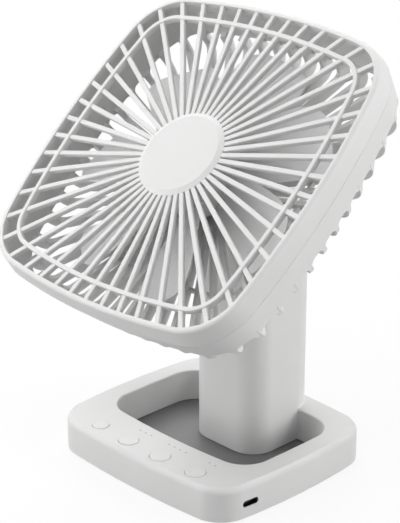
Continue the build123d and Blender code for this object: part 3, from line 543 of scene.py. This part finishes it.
def outline_at(outline, angle, aside=0.0):
    """Point and outward direction where a line along a rib, or beside it, meets an outline."""
    ray = Vector((cos(angle), sin(angle), 0))
    start = aside * Vector((-ray.y, ray.x, 0))
    for (first, first_out), (second, second_out) in zip(outline, outline[1:] + outline[:1]):
        edge = second - first
        off = first - start
        turn = ray.x * edge.y - ray.y * edge.x
        if abs(turn) > in_line:
            along = (off.x * ray.y - off.y * ray.x) / turn
            far = (off.x * edge.y - off.y * edge.x) / turn
            if 0 <= along <= 1 and far > 0:
                return start + far * ray, first_out.lerp(second_out, along).normalized()
    raise ValueError(angle)


def spokes(outline, stations):
    """Mesh of open paths, one for each rib; a station is (inner radius or None, grow, z)."""
    shape = bmesh.new()
    for count in range(rib_count):
        angle = 2 * pi * count / rib_count
        ray = Vector((cos(angle), sin(angle), 0))
        far = outline_at(outline, angle)[0].length
        row_of = []
        for inner, grow, z in stations:
            distance = far + grow if inner is None else inner
            row_of.append(shape.verts.new(ray * distance + Vector((0, 0, z))))
        for first, second in zip(row_of, row_of[1:]):
            shape.edges.new((first, second))
    return as_mesh("spokes", shape)


def rib_tree():
    """Ribs along open paths: a rounded section hangs below each path, and its corners are bent."""
    sizes = ("Width", "Depth", "Edge", "Bend", "Widening")
    tree, given = new_tree("ribs along paths", {label: "Float" for label in sizes})
    start = given["Geometry"]
    lines = start.node("GeometryNodeMeshToCurve", inputs={"Mesh": start})
    bend = {"Curve": lines, "Count": bend_steps, "Radius": given["Bend"], "Limit Radius": True}
    lines = start.node("GeometryNodeFilletCurve", {"mode": "POLY"}, bend)
    place = start.node("GeometryNodeInputPosition")
    across = {0: (0.0, 0.0, 1.0), 1: place}
    sideways = start.node("ShaderNodeVectorMath", {"operation": "CROSS_PRODUCT"}, across)
    lines = start.node("GeometryNodeSetCurveNormal", {"mode": "FREE"}, {"Curve": lines, "Normal": sideways})
    section = start.node(
        "GeometryNodeCurvePrimitiveQuadrilateral",
        {"mode": "RECTANGLE"},
        {"Width": given["Width"], "Height": given["Depth"]},
    )
    rounding = {"Curve": section, "Count": edge_steps, "Radius": given["Edge"], "Limit Radius": True}
    section = start.node("GeometryNodeFilletCurve", {"mode": "POLY"}, rounding)
    hang = start.node("ShaderNodeCombineXYZ", inputs={"Y": given["Depth"] * -0.5})
    section = start.node("GeometryNodeSetPosition", inputs={"Geometry": section, "Offset": hang})
    along = start.node("GeometryNodeSplineParameter", output="Factor")
    scale = 1 + given["Widening"] * along
    body = {"Curve": lines, "Profile Curve": section, "Scale": scale, "Fill Caps": True}
    close_tree(start.node("GeometryNodeCurveToMesh", inputs=body), given["Material"])
    return tree


ribs = rib_tree()
rim = bulged_square(rim_half, rim_corner, rim_bulge)


def side_at(z):
    """How far the rear grille's outer face stands out from the rim's inner edge, at a depth."""
    return rear_grow + (girth - rear_grow) * (rear_edge + z) / (rear_edge - parting)


def wall_section(aside):
    """Section of the rear wall beside a rib: its rear edge runs out along the rib in a round corner."""
    off = min(max(abs(aside) - tongue_half, 0.0), rib_root)
    bottom = sqrt(rib_root**2 - (rib_root - off)**2) - rib_root - rear_edge
    top = -parting - groove / 2
    start = top - soft_edge / 2
    edge = soft_edge * max(off / rib_root, 0.1)
    cut = 0.3 * edge
    rows = [start + (bottom + edge - start) * step / wall_rows for step in range(wall_rows + 1)]
    outer = [(side_at(z), z) for z in rows]
    inner = [(grow - wall, z) for grow, z in reversed(outer)]
    end = side_at(bottom)
    turn = [(end - cut, bottom + cut), (end - edge, bottom), (end - wall + edge, bottom)]
    lip = [(girth - wall, -parting), (girth - groove_deep, -parting), (girth - groove_deep, top)]
    return lip + [(girth - soft_edge / 2, top)] + outer + turn + inner


def rear_wall_columns():
    """Columns round the wall: close together beside each rib, and one between two ribs."""
    step = 2 * pi / rib_count
    offs = [tongue_half + rib_root * share for share in (0.0, 0.06, 0.2, 0.4, 0.65, 1.0)]
    columns = []
    for count in range(rib_count):
        for aside in [-off for off in reversed(offs)] + offs:
            columns.append(column_at(*outline_at(fine_rim, step * count, aside), wall_section(aside)))
        columns.append(column_at(*outline_at(fine_rim, step * (count + 0.5)), wall_section(rim_half)))
    return columns


fine_rim = bulged_square(rim_half, rim_corner, rim_bulge, 40)
tongue_half = rear_rib / 2 - rear_rib_edge  # flat width of a rib that the wall runs out over
rear_wall = lofted("rear_wall", rear_wall_columns())
rear_ribs = run_tree(ribs, spokes(rim, (
    (None, side_at(-rear_edge + wall) - rear_inset, -rear_edge + wall),
    (None, side_at(-rear_face) - rear_inset, -rear_face),
    (hub_plate - wall, 0, -rear_face),
)), {"Width": rear_rib, "Depth": rear_rib_deep, "Edge": rear_rib_edge, "Bend": rear_round,
     "Widening": rear_rib_hub / rear_rib - 1, "Material": white})
ring_line = bulged_square(rear_ring_half, rear_ring_corner, ring_bulge)
rear_ring = swept("rear_ring", ring_line, profile((
    (0, -rear_face, rear_ring_round),
    (-rear_ring_wide, -rear_face, rear_ring_round),
    (-rear_ring_wide, -rear_face + rear_ring_deep, rear_ring_round),
    (0, -rear_face + rear_ring_deep, rear_ring_round),
)))
plate = swept("hub_plate", circle(), profile((
    (0, -rear_face, 0),
    (hub_plate, -rear_face, hub_plate_round),
    (hub_plate, -rear_face + hub_plate_deep, hub_plate_round),
    (0, -rear_face + hub_plate_deep, 0),
)))
rear_meshes = (rear_wall, rear_ribs, rear_ring, plate)
rear_grille = smoothed("rear_grille_skin", joined("rear", rear_meshes, head_frame), white)
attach(rear_grille, "head")
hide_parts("rear_grille")

# Motor: a wound stator on a brass bearing tube, screwed to the rear grille's plate, with a small round board.
# The rotor's steel can and ferrite ring turn round it on a thin shaft in two ball bearings.
brass = metal("brass", (0.72, 0.52, 0.24), 0.32)
ferrite = moulded("ferrite", (0.045, 0.043, 0.042), 0.62, 0.5 * mm, 0.04 * mm)
wire_pitch = 2.2 * mm
wire_high = 0.1 * mm


def winding_finish(name):
    """Enamelled copper wire in close turns."""
    material, here = open_finish(name)
    turns = here.node(
        "ShaderNodeTexWave",
        {"wave_type": "BANDS", "bands_direction": "X"},
        {"Vector": here, "Scale": 1 / wire_pitch, "Distortion": 0.4, "Detail": 1.0},
    )
    return set_finish(material, {
        "Base Color": blend(turns, (0.30, 0.10, 0.035), (0.72, 0.30, 0.11)),
        "Metallic": 1.0,
        "Roughness": 0.42 - 0.12 * turns,
        "Normal": relief(turns, wire_high, 0.7),
    })


copper = winding_finish("copper winding")
for node, finish in (
    ("bearing_holder", brass),
    ("holder_screws", steel),
    ("front_bearing", steel),
    ("rear_bearing", steel),
    ("stator_core", dark_steel),
    ("stator_windings", copper),
    ("rotor_can", steel),
    ("magnet_ring", ferrite),
    ("motor_shaft", steel),
    ("shaft_clip", dark_steel),
):
    paint(node, finish)

# Impeller: a cup-shaped hub with seven broad swept blades, one moulding in pale satin plastic.
# The blades are thin and cambered, with soft edges and round tips, and the rotor is pressed into the hub.
blade_count = 7
blade_tip = 72.0 * mm
blade_phase = radians(38.0)
blade_mid = 17.5 * mm
blade_sweep = 7.0 * mm
root_chord = 24.0 * mm
tip_chord = 40.0 * mm
root_rise = 15.0 * mm
tip_rise = 12.0 * mm
camber = 2.6 * mm
blade_thick = 1.8 * mm
blade_edge = 0.9 * mm
blade_soft = 0.3 * mm
blade_rim_turn = radians(50)
tip_round = 13.0 * mm
hub = 21.5 * mm
hub_wall = 1.6 * mm
hub_face = 7.0 * mm
hub_face_thick = 2.0 * mm
hub_skirt = 26.5 * mm
hub_round = 2.5 * mm
hub_lip = 0.4 * mm


def round_tree():
    """Copies of the input turned about the Z axis in equal steps."""
    tree, given = new_tree("copies round an axis", {"Count": "Int", "Phase": "Float"})
    index = given["Count"].node("GeometryNodeInputIndex")
    angle = given["Phase"] + index * (2 * pi) / given["Count"]
    turned = angle.node("ShaderNodeCombineXYZ", inputs={"Z": angle})
    turned = angle.node("FunctionNodeEulerToRotation", inputs={"Euler": turned})
    points = angle.node("GeometryNodePoints", inputs={"Count": given["Count"]})
    copies = {"Points": points, "Instance": given["Geometry"], "Rotation": turned}
    close_tree(points.node("GeometryNodeInstanceOnPoints", inputs=copies), given["Material"])
    return tree


def blade_point(along, aside, face):
    """Point of a blade: along from root 0 to tip 1, aside from -1 to 1, face 1 in front and -1 behind."""
    tip_y = -blade_sweep + aside * tip_chord / 2
    flat = tip_chord / 2 - tip_round
    past = max(0.0, abs(tip_y + blade_sweep) - flat)
    corner_x = blade_tip - tip_round + sqrt(max(0.0, tip_round**2 - past**2))
    tip_x = min(corner_x, sqrt(blade_tip**2 - tip_y**2))
    start = hub - hub_wall / 2
    x = start + along * (tip_x - start)
    share = (x - hub) / (blade_tip - hub)
    chord = root_chord + share * (tip_chord - root_chord)
    rise = root_rise + share * (tip_rise - root_rise)
    thick = blade_edge + (blade_thick - blade_edge) * (1 - aside**2)
    depth = aside * rise / 2 - camber * (1 - aside**2) + face * thick / 2
    return Vector((x, -share * blade_sweep + aside * chord / 2, depth - blade_mid))


def blade_mesh(rows=14, columns=18):
    """One closed blade with a rounded edge all round."""
    shape = bmesh.new()
    sheets = []
    for face in (1, -1):
        sheet = []
        for row_at in range(rows + 1):
            along = row_at / rows
            sheet.append([shape.verts.new(blade_point(along, 2 * step / columns - 1, face))
                          for step in range(columns + 1)])
        sheets.append(sheet)
        for low, high in zip(sheet, sheet[1:]):
            for step in range(columns):
                shape.faces.new((low[step], low[step + 1], high[step + 1], high[step]))
    borders = []
    for sheet in sheets:
        lead = [line[0] for line in sheet]
        trail = [line[-1] for line in reversed(sheet)]
        borders.append(lead + sheet[-1][1:-1] + trail + sheet[0][-2:0:-1])
    front, back = borders
    for index in range(len(front)):
        shape.faces.new((front[index - 1], front[index], back[index], back[index - 1]))
    bmesh.ops.recalc_face_normals(shape, faces=shape.faces)
    closed = [edge for edge in shape.edges if edge.is_manifold]
    rim_edges = [edge for edge in closed if edge.calc_face_angle(0) > blade_rim_turn]
    bmesh.ops.bevel(shape, geom=rim_edges, offset=blade_soft, segments=2, profile=0.5, affect="EDGES")
    return as_mesh("blade", shape)


pale = moulded("pale satin plastic", (0.78, 0.78, 0.78), 0.36, 0.9 * mm, 0.008 * mm)
blades = run_tree(round_tree(), blade_mesh(), {"Count": blade_count, "Phase": blade_phase, "Material": pale})
hub_cup = swept("hub_cup", circle(), profile((
    (0, -hub_face, 0),
    (hub, -hub_face, hub_round),
    (hub, -hub_skirt, hub_lip),
    (hub - hub_wall, -hub_skirt, hub_lip),
    (hub - hub_wall, -hub_face - hub_face_thick, 0),
    (0, -hub_face - hub_face_thick, 0),
)))
impeller = smoothed("impeller_skin", joined("impeller", (blades, hub_cup), head_frame), pale)
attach(impeller, "rotor")
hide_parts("impeller")

# Front grille: the front half of the side wall with 48 straight ribs, and a raised square ring across them.
# It is one white moulding that snaps to the rear grille; the line where they meet runs round the widest part.
rim_slope = radians(9)
rim_round = 2.0 * mm
rim_lip = 0.35 * mm
rim_below_ribs = 0.4 * mm
parting_round = 0.2 * mm
rib_front = 0.7 * mm
rib_deep = 2.6 * mm
rib_narrow = 2.4 * mm
rib_wide = 2.6 * mm
rib_edge = 0.45 * mm
rib_in_rim = 0.6 * mm
rib_under_cap = 2.0 * mm
ring_half = 76.2 * mm
ring_corner = 18.0 * mm
ring_wide = 2.3 * mm
ring_round = 0.5 * mm
ring_back_round = 0.3 * mm
disc_round = 0.3 * mm
disc_back_round = 0.4 * mm
cap_rim = 24.0 * mm
rim_top = girth - parting * tan(rim_slope)
rib_back = -rib_front - rib_deep
front_wall = swept("front_wall", rim, profile((
    (0, 0, rim_lip),
    (0, rib_back - rim_below_ribs, 0),
    (wall, rib_back - rim_below_ribs, 0),
    (wall, -parting + groove / 2, 0),
    (girth, -parting + groove / 2, parting_round),
    (rim_top, 0, rim_round),
), steps=6))
front_ribs = run_tree(ribs, spokes(rim, (
    (cap_rim - rib_under_cap, 0, -rib_front),
    (None, rib_in_rim, -rib_front),
)), {"Width": rib_narrow, "Depth": rib_deep, "Edge": rib_edge, "Widening": rib_wide / rib_narrow - 1,
     "Material": white})
front_ring = swept("front_ring", bulged_square(ring_half, ring_corner, ring_bulge), profile((
    (ring_wide / 2, 0, ring_round),
    (-ring_wide / 2, 0, ring_round),
    (-ring_wide / 2, rib_back, ring_back_round),
    (ring_wide / 2, rib_back, ring_back_round),
)))
front_disc = swept("front_disc", circle(), profile((
    (0, -rib_front, 0),
    (cap_rim, -rib_front, disc_round),
    (cap_rim, rib_back, disc_back_round),
    (0, rib_back, 0),
)))
front_meshes = (front_wall, front_ribs, front_ring, front_disc)
front_grille = smoothed("front_grille_skin", joined("front", front_meshes, head_frame), white)
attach(front_grille, "head")
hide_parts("front_grille")

# Cap: a plain round disc in the same white that covers the middle of the ribs, pressed in on three pegs.
# Its face is flat and its edge slopes down to the ribs.
cap_face = 21.4 * mm
cap_proud = 0.6 * mm
cap_drop = 1.2 * mm
cap_face_round = 0.5 * mm
cap_rim_round = 0.2 * mm
cap_mesh = swept("cap", circle(128), profile((
    (0, cap_proud, 0),
    (cap_face, cap_proud, cap_face_round),
    (cap_rim, cap_proud - cap_drop, cap_rim_round),
    (cap_rim, -rib_front, 0),
    (0, -rib_front, 0),
)))
cap = smoothed("grille_cap_skin", joined("cap", (cap_mesh,), head_frame), white)
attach(cap, "head")
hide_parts("grille_cap")

# Motor cover: a round white cover behind the plate, with the neck and the hinge knuckle moulded on.
# Three sunk screws hold it.
refined("motor_cover", white, "head")
paint("motor_cover_screws", steel)

# Studio: a pale floor that fades to white away from the fan, soft boxes on all sides, and the camera.
# The camera stands where the photograph was taken from and looks down on the fan, without shift.
full_white = (1.0, 1.0, 1.0, 1.0)
floor_half = 3.0
floor_gap = 0.1 * mm
floor_bounce = 0.40
floor_seen = 0.95
glow_share = 0.85
glow_from = 0.10
glow_full = 0.45
floor_shape = bmesh.new()
bmesh.ops.create_grid(floor_shape, x_segments=1, y_segments=1, size=floor_half)
bmesh.ops.translate(floor_shape, vec=(0, 0, -floor_gap), verts=floor_shape.verts)
floor_mesh = as_mesh("floor", floor_shape)
floor_finish, floor_here = open_finish("pale floor")
floor_tree = floor_finish.node_tree
floor_tree.nodes.remove(floor_tree.nodes["Principled BSDF"])


def seen_or_mirrored(tree):
    """1 for rays that show the background: straight, by reflection or through something clear."""
    rays = tree.nodes.new("ShaderNodeLightPath").outputs
    names = ("Is Camera Ray", "Is Glossy Ray", "Is Transmission Ray")
    camera_ray, glossy_ray, clear_ray = (Wire(tree, rays[name]) for name in names)
    total = camera_ray + glossy_ray + clear_ray
    return total.node("ShaderNodeClamp", inputs={"Value": total})


distance = floor_here.node("ShaderNodeVectorMath", {"operation": "LENGTH"}, {0: floor_here}, output="Value")
dim, pale_lit = (
    floor_here.node("ShaderNodeBsdfDiffuse", inputs={"Color": (tone, tone, tone, 1.0)})
    for tone in (floor_bounce, floor_seen)
)
glow = floor_here.node("ShaderNodeEmission", inputs={"Color": full_white, "Strength": 1.0})
seen = seen_or_mirrored(floor_tree)
lit = floor_here.node("ShaderNodeMixShader", inputs={0: seen, 1: dim, 2: pale_lit})
share = seen * (glow_share + (1 - glow_share) * between(distance, glow_from, glow_full))
ground = floor_here.node("ShaderNodeMixShader", inputs={0: share, 1: lit, 2: glow})
from_below = floor_here.node("ShaderNodeNewGeometry", output="Backfacing")
clear = floor_here.node("ShaderNodeBsdfTransparent")
ground = floor_here.node("ShaderNodeMixShader", inputs={0: from_below, 1: ground, 2: clear})
floor_tree.links.new(ground.socket, floor_tree.nodes["Material Output"].inputs["Surface"])
as_object("floor", floor_mesh, floor_finish)

view_azimuth = radians(46.01)
view_elevation = radians(21.90)
camera_place = Vector((0.5942, -0.5818, 0.4422))
photo_high = 523
focal_pixels = 1768.1
sensor_wide = 36.0
toward_camera = Vector((
    sin(view_azimuth) * cos(view_elevation),
    -cos(view_azimuth) * cos(view_elevation),
    sin(view_elevation),
))
camera_data = bpy.data.cameras.new("camera")
camera_data.sensor_width = sensor_wide
camera_data.lens = focal_pixels * sensor_wide / photo_high
camera = bpy.data.objects.new("camera", camera_data)
camera.location = camera_place
camera.rotation_euler = (-toward_camera).to_track_quat("-Z", "Y").to_euler()
bpy.context.scene.collection.objects.link(camera)
bpy.context.scene.camera = camera

fan_middle = Vector((0, 0, 0.11))


def soft_box(name, direction, distance, size, power):
    """Square area lamp that faces the fan."""
    data = bpy.data.lights.new(name, "AREA")
    data.shape = "SQUARE"
    data.size = size
    data.energy = power
    lamp = bpy.data.objects.new(name, data)
    lamp.location = fan_middle + Vector(direction).normalized() * distance
    lamp.rotation_euler = (fan_middle - lamp.location).to_track_quat("-Z", "Y").to_euler()
    bpy.context.scene.collection.objects.link(lamp)


soft_box("low left box", (-0.60, -0.80, 0.04), 1.2, 0.8, 8.5)
soft_box("left box", (-0.75, -0.75, 0.80), 1.2, 0.8, 3.8)
soft_box("front box", (0.0, -0.80, 0.90), 1.3, 1.0, 4.0)
soft_box("top box", (0.0, -0.15, 1.0), 1.3, 1.2, 3.5)
soft_box("rear box", (-0.60, 0.50, 0.90), 1.3, 1.0, 8.4)
soft_box("right box", (0.80, 0.60, 0.40), 1.2, 0.8, 7.8)
soft_box("low right box", (0.95, -0.15, 0.05), 1.2, 0.8, 5.0)

fill_strength = 0.02
world = bpy.data.worlds.new("studio")
world.use_nodes = True
bpy.context.scene.world = world
world_tree = world.node_tree
shown = seen_or_mirrored(world_tree)
fill_light = world_tree.nodes["Background"]
fill_light.inputs["Color"].default_value = full_white
fill_light.inputs["Strength"].default_value = fill_strength
backdrop = shown.node("ShaderNodeBackground", inputs={"Color": full_white, "Strength": 1.0})
fill = Wire(world_tree, fill_light.outputs[0])
air = shown.node("ShaderNodeMixShader", inputs={0: shown, 1: fill, 2: backdrop})
world_tree.links.new(air.socket, world_tree.nodes["World Output"].inputs["Surface"])
bpy.context.scene.view_settings.view_transform = "Standard"
